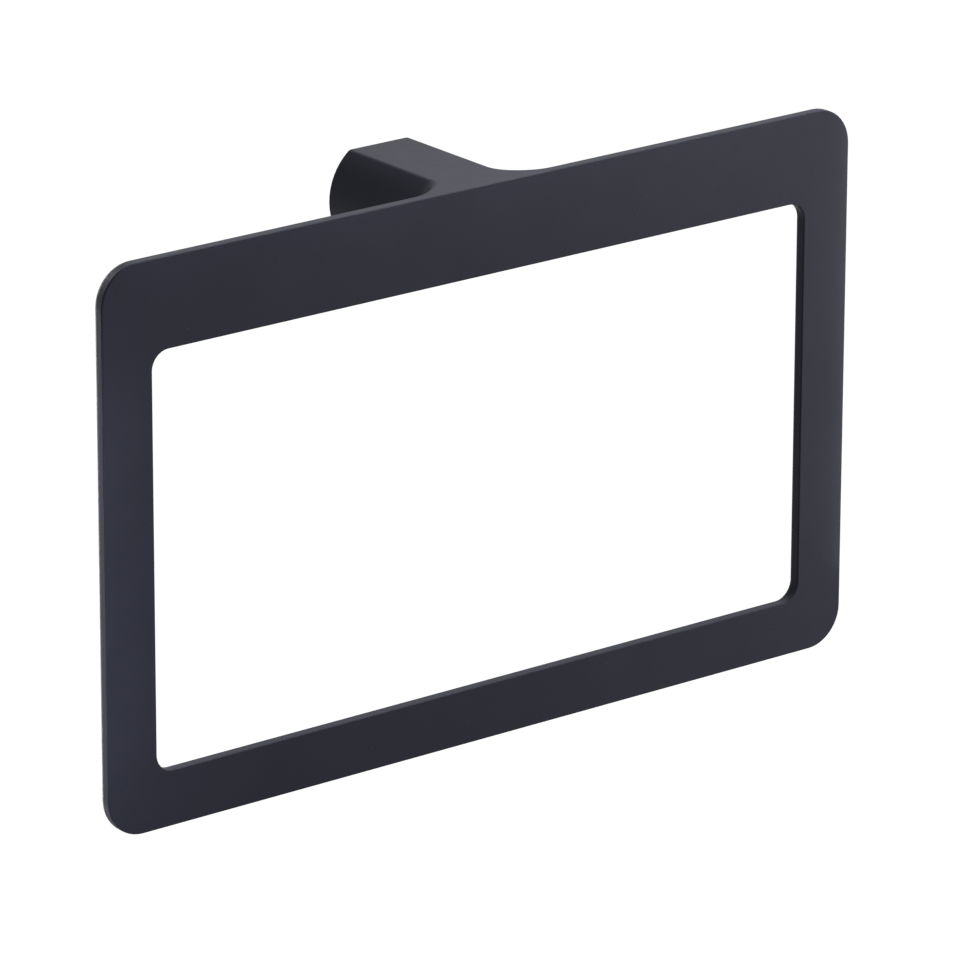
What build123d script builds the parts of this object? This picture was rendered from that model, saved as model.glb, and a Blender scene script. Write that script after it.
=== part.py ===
"""Wall-mounted towel ring: a flat rectangular frame cast in one piece with its post.

Millimetres. The origin is on the post's axis in the wall plane. The front faces -Y and +Z is up.
"""

import os
from math import radians, sin, tan

from build123d import *

# Frame plate
FRAME_WIDTH = 240.0
FRAME_HEIGHT = 150.0
PLATE_THICKNESS = 4.0
TOP_BAR = 24.0
SIDE_BAR = 15.0
BOTTOM_BAR = 15.0
OUTER_CORNER_RADIUS = 10.5
INNER_CORNER_RADIUS = 5.0

# Post between the wall and the top bar
PROJECTION = 47.0
POST_RADIUS = 16.0
POST_FLAT_HEIGHT = 13.0
FLARE_RADIUS = 9.0

# Rounding of the casting's outer edges: crisp round the frame's front face and the post's wall end
FRONT_EDGE_RADIUS = 0.4
WALL_EDGE_RADIUS = 1.0
EDGE_RADIUS = 1.8

# Hollow cored into the post from its wall end
POST_WALL = 5.0
HOLLOW_DEPTH = 30.0

# Wall bracket, in the mouth of the hollow
BRACKET_CLEARANCE = 0.25
BRACKET_DEPTH = 10.0
BRACKET_CHAMFER = 0.4
WALL_HOLE_SPACING = 11.0
WALL_HOLE_DIAMETER = 4.2
WALL_SCREW_HEAD_DIAMETER = 8.0
COUNTERSINK_ANGLE = 90.0

# Set screw in the underside of the post, with its point in a groove across the bracket
SCREW_DIAMETER = 5.0
SCREW_CLEARANCE = 0.1
SCREW_RECESS = 0.3
SCREW_CHAMFER = 0.4
SCREW_TIP_DIAMETER = 1.0
POINT_ANGLE = 90.0
GROOVE_DEPTH = 1.5
HEX_ACROSS_FLATS = 2.5
HEX_DEPTH = 2.5

# Faces that meet at less than this angle, in degrees, run smoothly into each other
SMOOTH_ANGLE = 1.0

# Levels that follow from the sizes above
FRAME_TOP = POST_FLAT_HEIGHT
FRAME_MIDDLE = FRAME_TOP - FRAME_HEIGHT / 2
WINDOW_TOP = FRAME_TOP - TOP_BAR
WINDOW_WIDTH = FRAME_WIDTH - 2 * SIDE_BAR
WINDOW_HEIGHT = FRAME_HEIGHT - TOP_BAR - BOTTOM_BAR
WINDOW_MIDDLE = WINDOW_TOP - WINDOW_HEIGHT / 2
PLATE_BACK = PROJECTION - PLATE_THICKNESS
BRACKET_INSET = POST_WALL + BRACKET_CLEARANCE
BRACKET_UNDERSIDE = WINDOW_TOP + BRACKET_INSET
SCREW_STATION = BRACKET_DEPTH / 2
GROOVE_APEX = BRACKET_UNDERSIDE + GROOVE_DEPTH

# Sketches in these planes have X to the right and Z up, and extrude towards the front
WALL_PLANE = Plane.XZ
BRACKET_FRONT_PLANE = WALL_PLANE.offset(BRACKET_DEPTH)
PLATE_BACK_PLANE = WALL_PLANE.offset(PLATE_BACK)
SCREW_PLANE = WALL_PLANE.offset(SCREW_STATION)


def post_section(inset):
    """Draw the post's section, a circle with a flat above and below, set in from its outside."""
    section_top = POST_FLAT_HEIGHT - inset
    section_bottom = WINDOW_TOP + inset
    Circle(POST_RADIUS - inset)
    with Locations((0, (section_top + section_bottom) / 2)):
        Rectangle(2 * POST_RADIUS, section_top - section_bottom, mode=Mode.INTERSECT)


def is_corner(edge):
    """Tell an edge where two faces meet at an angle from one where they run smoothly together."""
    first, second = [face for face in edge.topo_parent.faces() if edge in face.edges()]
    middle = edge.position_at(0.5)
    return first.normal_at(middle).get_angle(second.normal_at(middle)) > SMOOTH_ANGLE


os.makedirs("parts", exist_ok=True)

# Ring casting: the post is turned with its flare and cut flat, level with the top bar's upper and lower edges
with BuildPart() as ring_casting:
    flare_start = (POST_RADIUS, FLARE_RADIUS - PLATE_BACK)
    flare_end = (POST_RADIUS + FLARE_RADIUS, -PLATE_BACK)
    foot_radius = POST_RADIUS + FLARE_RADIUS + PLATE_THICKNESS
    with BuildSketch(Plane.XY):
        with BuildLine():
            Polyline((0, -PROJECTION), (0, 0), (POST_RADIUS, 0), flare_start)
            RadiusArc(flare_start, flare_end, -FLARE_RADIUS)
            Polyline(flare_end, (foot_radius, -PLATE_BACK), (foot_radius, -PROJECTION), (0, -PROJECTION))
        make_face()
    revolve(axis=Axis.Y)
    split(bisect_by=Plane.XY.offset(FRAME_TOP), keep=Keep.BOTTOM)
    split(bisect_by=Plane.XY.offset(WINDOW_TOP), keep=Keep.TOP)

    # The frame plate, with its window
    with BuildSketch(PLATE_BACK_PLANE):
        with Locations((0, FRAME_MIDDLE)):
            RectangleRounded(FRAME_WIDTH, FRAME_HEIGHT, OUTER_CORNER_RADIUS)
        with Locations((0, WINDOW_MIDDLE)):
            RectangleRounded(WINDOW_WIDTH, WINDOW_HEIGHT, INNER_CORNER_RADIUS, mode=Mode.SUBTRACT)
    extrude(amount=PLATE_THICKNESS)
    fillet(ring_casting.faces().sort_by(Axis.Y)[0].edges(), FRONT_EDGE_RADIUS)
    wall_end = ring_casting.faces().sort_by(Axis.Y)[-1]
    fillet(ring_casting.edges().filter_by(is_corner) - wall_end.edges(), EDGE_RADIUS)
    wall_end = ring_casting.faces().sort_by(Axis.Y)[-1]
    fillet(wall_end.edges(), WALL_EDGE_RADIUS)

    # The hollow behind, and the hole for the set screw
    with BuildSketch(WALL_PLANE):
        post_section(POST_WALL)
    extrude(amount=HOLLOW_DEPTH, mode=Mode.SUBTRACT)
    with BuildSketch(Plane.XY.offset(WINDOW_TOP)):
        with Locations((0, -SCREW_STATION)):
            Circle(SCREW_DIAMETER / 2 + SCREW_CLEARANCE)
    extrude(amount=POST_WALL, mode=Mode.SUBTRACT)
ring_casting.part.label = "ring_casting"
export_step(ring_casting.part, "parts/ring_casting.step")

# Wall bracket: fills the mouth of the hollow, flush with the wall plane
with BuildPart() as wall_bracket:
    with BuildSketch(WALL_PLANE):
        post_section(BRACKET_INSET)
    extrude(amount=BRACKET_DEPTH)
    chamfer(wall_bracket.faces().sort_by(Axis.Y)[0].edges(), BRACKET_CHAMFER)
    with Locations(BRACKET_FRONT_PLANE):
        with GridLocations(WALL_HOLE_SPACING, WALL_HOLE_SPACING, 2, 1):
            CounterSinkHole(
                WALL_HOLE_DIAMETER / 2,
                WALL_SCREW_HEAD_DIAMETER / 2,
                counter_sink_angle=COUNTERSINK_ANGLE,
            )

    # The groove for the set screw's point
    groove_half_width = GROOVE_DEPTH * tan(radians(POINT_ANGLE / 2))
    with BuildSketch(Plane.YZ):
        with BuildLine():
            Polyline(
                (-SCREW_STATION - groove_half_width, BRACKET_UNDERSIDE),
                (-SCREW_STATION, GROOVE_APEX),
                (-SCREW_STATION + groove_half_width, BRACKET_UNDERSIDE),
                close=True,
            )
        make_face()
    extrude(amount=POST_RADIUS, both=True, mode=Mode.SUBTRACT)
wall_bracket.part.label = "wall_bracket"
export_step(wall_bracket.part, "parts/wall_bracket.step")

# Set screw: a cone-point grub screw with a hexagon socket, turned about an upright axis
with BuildPart() as set_screw:
    point_half_angle = radians(POINT_ANGLE / 2)
    screw_radius = SCREW_DIAMETER / 2
    tip_radius = SCREW_TIP_DIAMETER / 2
    screw_bottom = WINDOW_TOP + SCREW_RECESS
    cone_apex = GROOVE_APEX - SCREW_CLEARANCE / sin(point_half_angle)
    cone_base = cone_apex - screw_radius / tan(point_half_angle)
    cone_tip = cone_apex - tip_radius / tan(point_half_angle)
    with BuildSketch(SCREW_PLANE):
        with BuildLine():
            Polyline(
                (0, screw_bottom),
                (screw_radius - SCREW_CHAMFER, screw_bottom),
                (screw_radius, screw_bottom + SCREW_CHAMFER),
                (screw_radius, cone_base),
                (tip_radius, cone_tip),
                (0, cone_tip),
                close=True,
            )
        make_face()
    revolve(axis=Axis((0, -SCREW_STATION, 0), (0, 0, 1)))
    with BuildSketch(Plane.XY.offset(screw_bottom)):
        with Locations((0, -SCREW_STATION)):
            RegularPolygon(HEX_ACROSS_FLATS / 2, 6, major_radius=False)
    extrude(amount=HEX_DEPTH, mode=Mode.SUBTRACT)
set_screw.part.label = "set_screw"
export_step(set_screw.part, "parts/set_screw.step")
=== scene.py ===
"""Looks for the wall-mounted towel ring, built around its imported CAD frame.

The ring and its post are one casting in a fine matte black coating. Behind it, inside the post's foot,
sit a plated wall bracket and the set screw that holds the post on it. Everything is in metres.
"""
from math import cos, radians, sin

import bpy
from mathutils import Matrix, Vector


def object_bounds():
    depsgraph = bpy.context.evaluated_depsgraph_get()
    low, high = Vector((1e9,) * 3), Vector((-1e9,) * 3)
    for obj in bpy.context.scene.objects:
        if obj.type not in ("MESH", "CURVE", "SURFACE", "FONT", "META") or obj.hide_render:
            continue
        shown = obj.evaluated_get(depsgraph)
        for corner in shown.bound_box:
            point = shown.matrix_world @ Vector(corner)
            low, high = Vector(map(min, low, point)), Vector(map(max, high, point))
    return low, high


# The photograph is square, and its camera looks from the front left, a little from above.
# Its aim is measured from the middle of the ring's front.
IMAGE_SIDE = 960
FOCAL_PIXELS = 7296.08
SENSOR_WIDTH = 36.0
CAMERA_AIM = Vector((-0.002741, 0.0, -0.003541))
CAMERA_DISTANCE = 1.869203
CAMERA_AZIMUTH = 38.026
CAMERA_PITCH = 19.059
CAMERA_ROLL = 0.179

# The ring hangs on its wall about a metre above the floor.
FLOOR_DROP = 1.1
FLOOR_HALF_SIZE = 12.0
FLOOR_COLOUR = (0.75, 0.75, 0.75)
FLOOR_GLOW = 0.95
WHITE = (1.0, 1.0, 1.0)
SKY_LIGHT = 0.12

# Soft boxes: name, the point on the ring that it is set up from, its place and the point it faces, both
# measured from there, its width and height, and its power in watts.
# The strips stand close to the ring and lighten its bars towards their outer edges.
HERE = (0.0, 0.0, 0.0)
LAMPS = [
    ("lamp_front_right", "middle", (0.557, -0.319, 0.768), HERE, 0.50, 0.50, 13.0),
    ("lamp_back_right", "middle", (0.455, 0.457, 0.768), HERE, 0.50, 0.50, 3.8),
    ("lamp_right", "right", (0.280, -0.203, 0.012), HERE, 0.15, 0.30, 0.45),
    ("lamp_right_low", "right", (0.330, -0.353, -0.138), HERE, 0.25, 0.25, 0.88),
    ("lamp_left", "left", (-0.230, -0.303, -0.088), HERE, 0.10, 0.25, 0.18),
    ("strip_left_front", "left", (-0.017, -0.023, -0.013), (0.008, 0.0, -0.013), 0.010, 0.12, 0.034),
    ("strip_left_back", "left", (-0.008, 0.087, 0.027), (-0.080, -0.053, 0.027), 0.012, 0.29, 0.32),
    ("strip_right", "right", (0.0025, -0.0025, 0.014), (-0.001, 0.0, 0.014), 0.002, 0.14, 0.0028),
    ("strip_top", "top", (0.0, -0.013, 0.013), HERE, 0.23, 0.006, 0.0175),
]

# Matte black coating: its tone drifts between two blacks, and its gloss between two roughnesses.
# Scales are in waves to the metre, and heights in metres.
COATING_DARK = (0.0117, 0.0126, 0.0211)
COATING_LIGHT = (0.0139, 0.0149, 0.0245)
COATING_SMOOTH = 0.46
COATING_ROUGH = 0.54
COATING_SPECULAR = 0.09
CLOUDS_SCALE = 38.0
MOTTLE_SCALE = 170.0
PEEL_SCALE = 420.0
PEEL_HEIGHT = 0.000015
GRAIN_SCALE = 2600.0
GRAIN_HEIGHT = 0.000006

# Dust caught under the coating: cells to the metre, the share of cells with a nib, and its radius in cells.
NIB_SCALE = 350.0
NIB_SHARE = 0.3
NIB_RADIUS = 0.06
NIB_HEIGHT = 0.000030
NIB_COLOUR = (0.050, 0.051, 0.056)

# Plated steel: its streaks are in waves to the metre along X, Y and Z, with few along the brushing.
BRACKET_COLOUR = (0.56, 0.57, 0.58)
BRACKET_ROUGHNESS = 0.34
BRACKET_STREAKS = (60.0, 900.0, 900.0)
SCREW_COLOUR = (0.34, 0.34, 0.35)
SCREW_ROUGHNESS = 0.42
SCREW_STREAKS = (900.0, 900.0, 60.0)
STREAK_DARKENING = 0.72
STREAK_HEIGHT = 0.000012
STEEL_CLOUDS_SCALE = 160.0
STEEL_ROUGHNESS_DRIFT = 0.10

# Where the tone ramps start and end on a noise, which seldom goes further from its middle.
RAMP_START = 0.3
RAMP_END = 0.7


def opaque(colour):
    """The colour with full alpha."""
    return (*colour, 1.0)


def new_material(name):
    """An empty node material with its shader joined to its output."""
    material = bpy.data.materials.new(name)
    material.use_nodes = True
    tree = material.node_tree
    tree.nodes.clear()
    output = tree.nodes.new("ShaderNodeOutputMaterial")
    shader = tree.nodes.new("ShaderNodeBsdfPrincipled")
    tree.links.new(shader.outputs["BSDF"], output.inputs["Surface"])
    return material, tree, shader


def object_coordinates(tree):
    """The place on the object, in metres."""
    return tree.nodes.new("ShaderNodeTexCoord").outputs["Object"]


def noise(tree, vector, scale, detail=2.0, roughness=0.5):
    """A noise texture; scale is in waves per metre."""
    node = tree.nodes.new("ShaderNodeTexNoise")
    node.inputs["Scale"].default_value = scale
    node.inputs["Detail"].default_value = detail
    node.inputs["Roughness"].default_value = roughness
    tree.links.new(vector, node.inputs["Vector"])
    return node.outputs["Fac"]


def tone_ramp(tree, factor, dark, light):
    """A colour that goes from dark to light over the middle of factor."""
    node = tree.nodes.new("ShaderNodeValToRGB")
    first, last = node.color_ramp.elements
    first.position, first.color = RAMP_START, opaque(dark)
    last.position, last.color = RAMP_END, opaque(light)
    tree.links.new(factor, node.inputs["Fac"])
    return node.outputs["Color"]


def spread(tree, factor, low, high):
    """factor, from 0 to 1, spread between low and high."""
    node = tree.nodes.new("ShaderNodeMapRange")
    node.inputs["To Min"].default_value = low
    node.inputs["To Max"].default_value = high
    tree.links.new(factor, node.inputs["Value"])
    return node.outputs["Result"]


def rise(tree, value, start, end):
    """0 at start and 1 at end, with a straight rise between them, and level outside them."""
    node = tree.nodes.new("ShaderNodeMapRange")
    node.inputs["From Min"].default_value = start
    node.inputs["From Max"].default_value = end
    tree.links.new(value, node.inputs["Value"])
    return node.outputs["Result"]


def combine(tree, operation, first, second):
    """The result of a Math operation on two values."""
    node = tree.nodes.new("ShaderNodeMath")
    node.operation = operation
    tree.links.new(first, node.inputs[0])
    tree.links.new(second, node.inputs[1])
    return node.outputs["Value"]


def bump(tree, height, distance, normal=None):
    """A bump of that height in metres, on top of another normal where there is one."""
    node = tree.nodes.new("ShaderNodeBump")
    node.inputs["Strength"].default_value = 1.0
    node.inputs["Distance"].default_value = distance
    tree.links.new(height, node.inputs["Height"])
    if normal is not None:
        tree.links.new(normal, node.inputs["Normal"])
    return node.outputs["Normal"]


def specks(tree, vector, scale, share, radius):
    """1 in small round specks, at the middles of a share of the cells, and 0 elsewhere."""
    cells = tree.nodes.new("ShaderNodeTexVoronoi")
    cells.inputs["Scale"].default_value = scale
    tree.links.new(vector, cells.inputs["Vector"])
    channels = tree.nodes.new("ShaderNodeSeparateColor")
    tree.links.new(cells.outputs["Color"], channels.inputs["Color"])
    chosen = rise(tree, channels.outputs["Red"], 1.0 - share, 1.01 - share)
    inside = rise(tree, cells.outputs["Distance"], radius, 0.5 * radius)
    return combine(tree, "MULTIPLY", chosen, inside)


def mix(tree, factor, first, second):
    """The colour first, with the fixed colour second where factor is 1."""
    node = tree.nodes.new("ShaderNodeMixRGB")
    node.inputs["Color2"].default_value = opaque(second)
    tree.links.new(factor, node.inputs["Fac"])
    tree.links.new(first, node.inputs["Color1"])
    return node.outputs["Color"]


def coating_material():
    """Matte black coating: a blue-black skin with a fine grain, faint mottling and a few dust nibs."""
    material, tree, shader = new_material("coating_matte_black")
    place = object_coordinates(tree)
    clouds = noise(tree, place, CLOUDS_SCALE, detail=3.0)
    mottle = noise(tree, place, MOTTLE_SCALE, detail=3.0, roughness=0.6)
    peel = noise(tree, place, PEEL_SCALE)
    grain = noise(tree, place, GRAIN_SCALE)
    nibs = specks(tree, place, NIB_SCALE, NIB_SHARE, NIB_RADIUS)
    tone = tone_ramp(tree, clouds, COATING_DARK, COATING_LIGHT)
    tree.links.new(mix(tree, nibs, tone, NIB_COLOUR), shader.inputs["Base Color"])
    tree.links.new(spread(tree, mottle, COATING_SMOOTH, COATING_ROUGH), shader.inputs["Roughness"])
    shader.inputs["Specular IOR Level"].default_value = COATING_SPECULAR
    peeled = bump(tree, peel, PEEL_HEIGHT)
    grained = bump(tree, grain, GRAIN_HEIGHT, peeled)
    tree.links.new(bump(tree, nibs, NIB_HEIGHT, grained), shader.inputs["Normal"])
    return material


def steel_material(name, colour, roughness, streak_scale):
    """Plated steel with brushing along one axis."""
    material, tree, shader = new_material(name)
    place = object_coordinates(tree)
    mapping = tree.nodes.new("ShaderNodeMapping")
    mapping.inputs["Scale"].default_value = streak_scale
    tree.links.new(place, mapping.inputs["Vector"])
    streaks = noise(tree, mapping.outputs["Vector"], 1.0, detail=4.0, roughness=0.6)
    clouds = noise(tree, place, STEEL_CLOUDS_SCALE)
    dark = tuple(STREAK_DARKENING * channel for channel in colour)
    tree.links.new(tone_ramp(tree, streaks, dark, colour), shader.inputs["Base Color"])
    low, high = roughness - STEEL_ROUGHNESS_DRIFT, roughness + STEEL_ROUGHNESS_DRIFT
    tree.links.new(spread(tree, clouds, low, high), shader.inputs["Roughness"])
    shader.inputs["Metallic"].default_value = 1.0
    tree.links.new(bump(tree, streaks, STREAK_HEIGHT), shader.inputs["Normal"])
    return material


def seen_directly(tree):
    """1 for rays from the camera, a reflection or a see-through surface, and 0 for light that spreads."""
    path = tree.nodes.new("ShaderNodeLightPath")
    seen = combine(tree, "MAXIMUM", path.outputs["Is Camera Ray"], path.outputs["Is Glossy Ray"])
    return combine(tree, "MAXIMUM", seen, path.outputs["Is Transmission Ray"])


def floor_material():
    """Pale floor that looks white and still takes a shadow."""
    material = bpy.data.materials.new("floor_white")
    material.use_nodes = True
    tree = material.node_tree
    tree.nodes.clear()
    output = tree.nodes.new("ShaderNodeOutputMaterial")
    diffuse = tree.nodes.new("ShaderNodeBsdfDiffuse")
    diffuse.inputs["Color"].default_value = opaque(FLOOR_COLOUR)
    glow = tree.nodes.new("ShaderNodeEmission")
    glow.inputs["Color"].default_value = opaque(WHITE)
    tree.links.new(spread(tree, seen_directly(tree), 0.0, FLOOR_GLOW), glow.inputs["Strength"])
    both = tree.nodes.new("ShaderNodeAddShader")
    tree.links.new(diffuse.outputs["BSDF"], both.inputs[0])
    tree.links.new(glow.outputs["Emission"], both.inputs[1])
    tree.links.new(both.outputs["Shader"], output.inputs["Surface"])
    return material


def make_floor(top):
    """A large plane under the object."""
    mesh = bpy.data.meshes.new("floor")
    s = FLOOR_HALF_SIZE
    mesh.from_pydata([(-s, -s, top), (s, -s, top), (s, s, top), (-s, s, top)], [], [(0, 1, 2, 3)])
    floor = bpy.data.objects.new("floor", mesh)
    bpy.context.scene.collection.objects.link(floor)
    mesh.materials.append(floor_material())


def make_world():
    """A soft grey room for the light, white where it is seen directly."""
    world = bpy.data.worlds.new("studio")
    bpy.context.scene.world = world
    world.use_nodes = True
    tree = world.node_tree
    tree.nodes.clear()
    output = tree.nodes.new("ShaderNodeOutputWorld")
    background = tree.nodes.new("ShaderNodeBackground")
    background.inputs["Color"].default_value = opaque(WHITE)
    tree.links.new(spread(tree, seen_directly(tree), SKY_LIGHT, 1.0), background.inputs["Strength"])
    tree.links.new(background.outputs["Background"], output.inputs["Surface"])


def ring_points(low, high):
    """The middle of the ring's front, and the middles of three of its edges there, from the ring's box."""
    across, up = 0.5 * (low.x + high.x), 0.5 * (low.z + high.z)
    return {
        "middle": Vector((across, low.y, up)),
        "left": Vector((low.x, low.y, up)),
        "right": Vector((high.x, low.y, up)),
        "top": Vector((across, low.y, high.z)),
    }


def softbox(name, place, aim, width, height, power):
    """An area lamp at place that faces aim."""
    lamp = bpy.data.lights.new(name, "AREA")
    lamp.shape = "RECTANGLE"
    lamp.size = width
    lamp.size_y = height
    lamp.energy = power
    body = bpy.data.objects.new(name, lamp)
    body.location = place
    body.rotation_mode = "QUATERNION"
    body.rotation_quaternion = (aim - place).to_track_quat("-Z", "Y")
    body.visible_camera = False
    bpy.context.scene.collection.objects.link(body)


def make_lamps(points):
    """The soft boxes, each set up from its point on the ring."""
    for name, point, place, aim, width, height, power in LAMPS:
        origin = points[point]
        softbox(name, origin + Vector(place), origin + Vector(aim), width, height, power)


def make_camera(target):
    """The photograph's camera: its axes are turned by azimuth, pitch and roll about its target."""
    azimuth, pitch, roll = radians(CAMERA_AZIMUTH), radians(CAMERA_PITCH), radians(CAMERA_ROLL)
    forward = Vector((sin(azimuth) * cos(pitch), cos(azimuth) * cos(pitch), -sin(pitch)))
    right = Vector((cos(azimuth), -sin(azimuth), 0.0))
    up = right.cross(forward)
    turned_right = cos(roll) * right + sin(roll) * up
    turned_up = cos(roll) * up - sin(roll) * right
    data = bpy.data.cameras.new("camera")
    data.sensor_width = SENSOR_WIDTH
    data.lens = FOCAL_PIXELS / IMAGE_SIDE * SENSOR_WIDTH
    camera = bpy.data.objects.new("camera", data)
    rotation = Matrix((turned_right, turned_up, -forward)).transposed().to_4x4()
    camera.matrix_world = Matrix.Translation(target - CAMERA_DISTANCE * forward) @ rotation
    bpy.context.scene.collection.objects.link(camera)
    bpy.context.scene.camera = camera


def finish_node(node, material):
    """Gives a CAD node its material in every slot."""
    materials = node.data.materials
    if not materials:
        materials.append(material)
    for slot in range(len(materials)):
        materials[slot] = material


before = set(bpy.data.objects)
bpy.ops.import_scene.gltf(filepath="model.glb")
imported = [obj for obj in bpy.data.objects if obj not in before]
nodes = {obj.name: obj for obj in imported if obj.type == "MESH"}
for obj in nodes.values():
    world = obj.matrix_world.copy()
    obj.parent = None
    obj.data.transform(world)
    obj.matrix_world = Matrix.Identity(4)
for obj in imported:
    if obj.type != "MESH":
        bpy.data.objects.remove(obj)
cad_low, cad_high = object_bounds()

bracket_steel = steel_material("plated_bracket", BRACKET_COLOUR, BRACKET_ROUGHNESS, BRACKET_STREAKS)
screw_steel = steel_material("steel_screw", SCREW_COLOUR, SCREW_ROUGHNESS, SCREW_STREAKS)
finish_node(nodes["ring_casting"], coating_material())
finish_node(nodes["wall_bracket"], bracket_steel)
finish_node(nodes["set_screw"], screw_steel)

make_floor(cad_low.z - FLOOR_DROP)
make_world()
points = ring_points(cad_low, cad_high)
make_lamps(points)
make_camera(points["middle"] + CAMERA_AIM)
bpy.context.scene.view_settings.view_transform = "Standard"
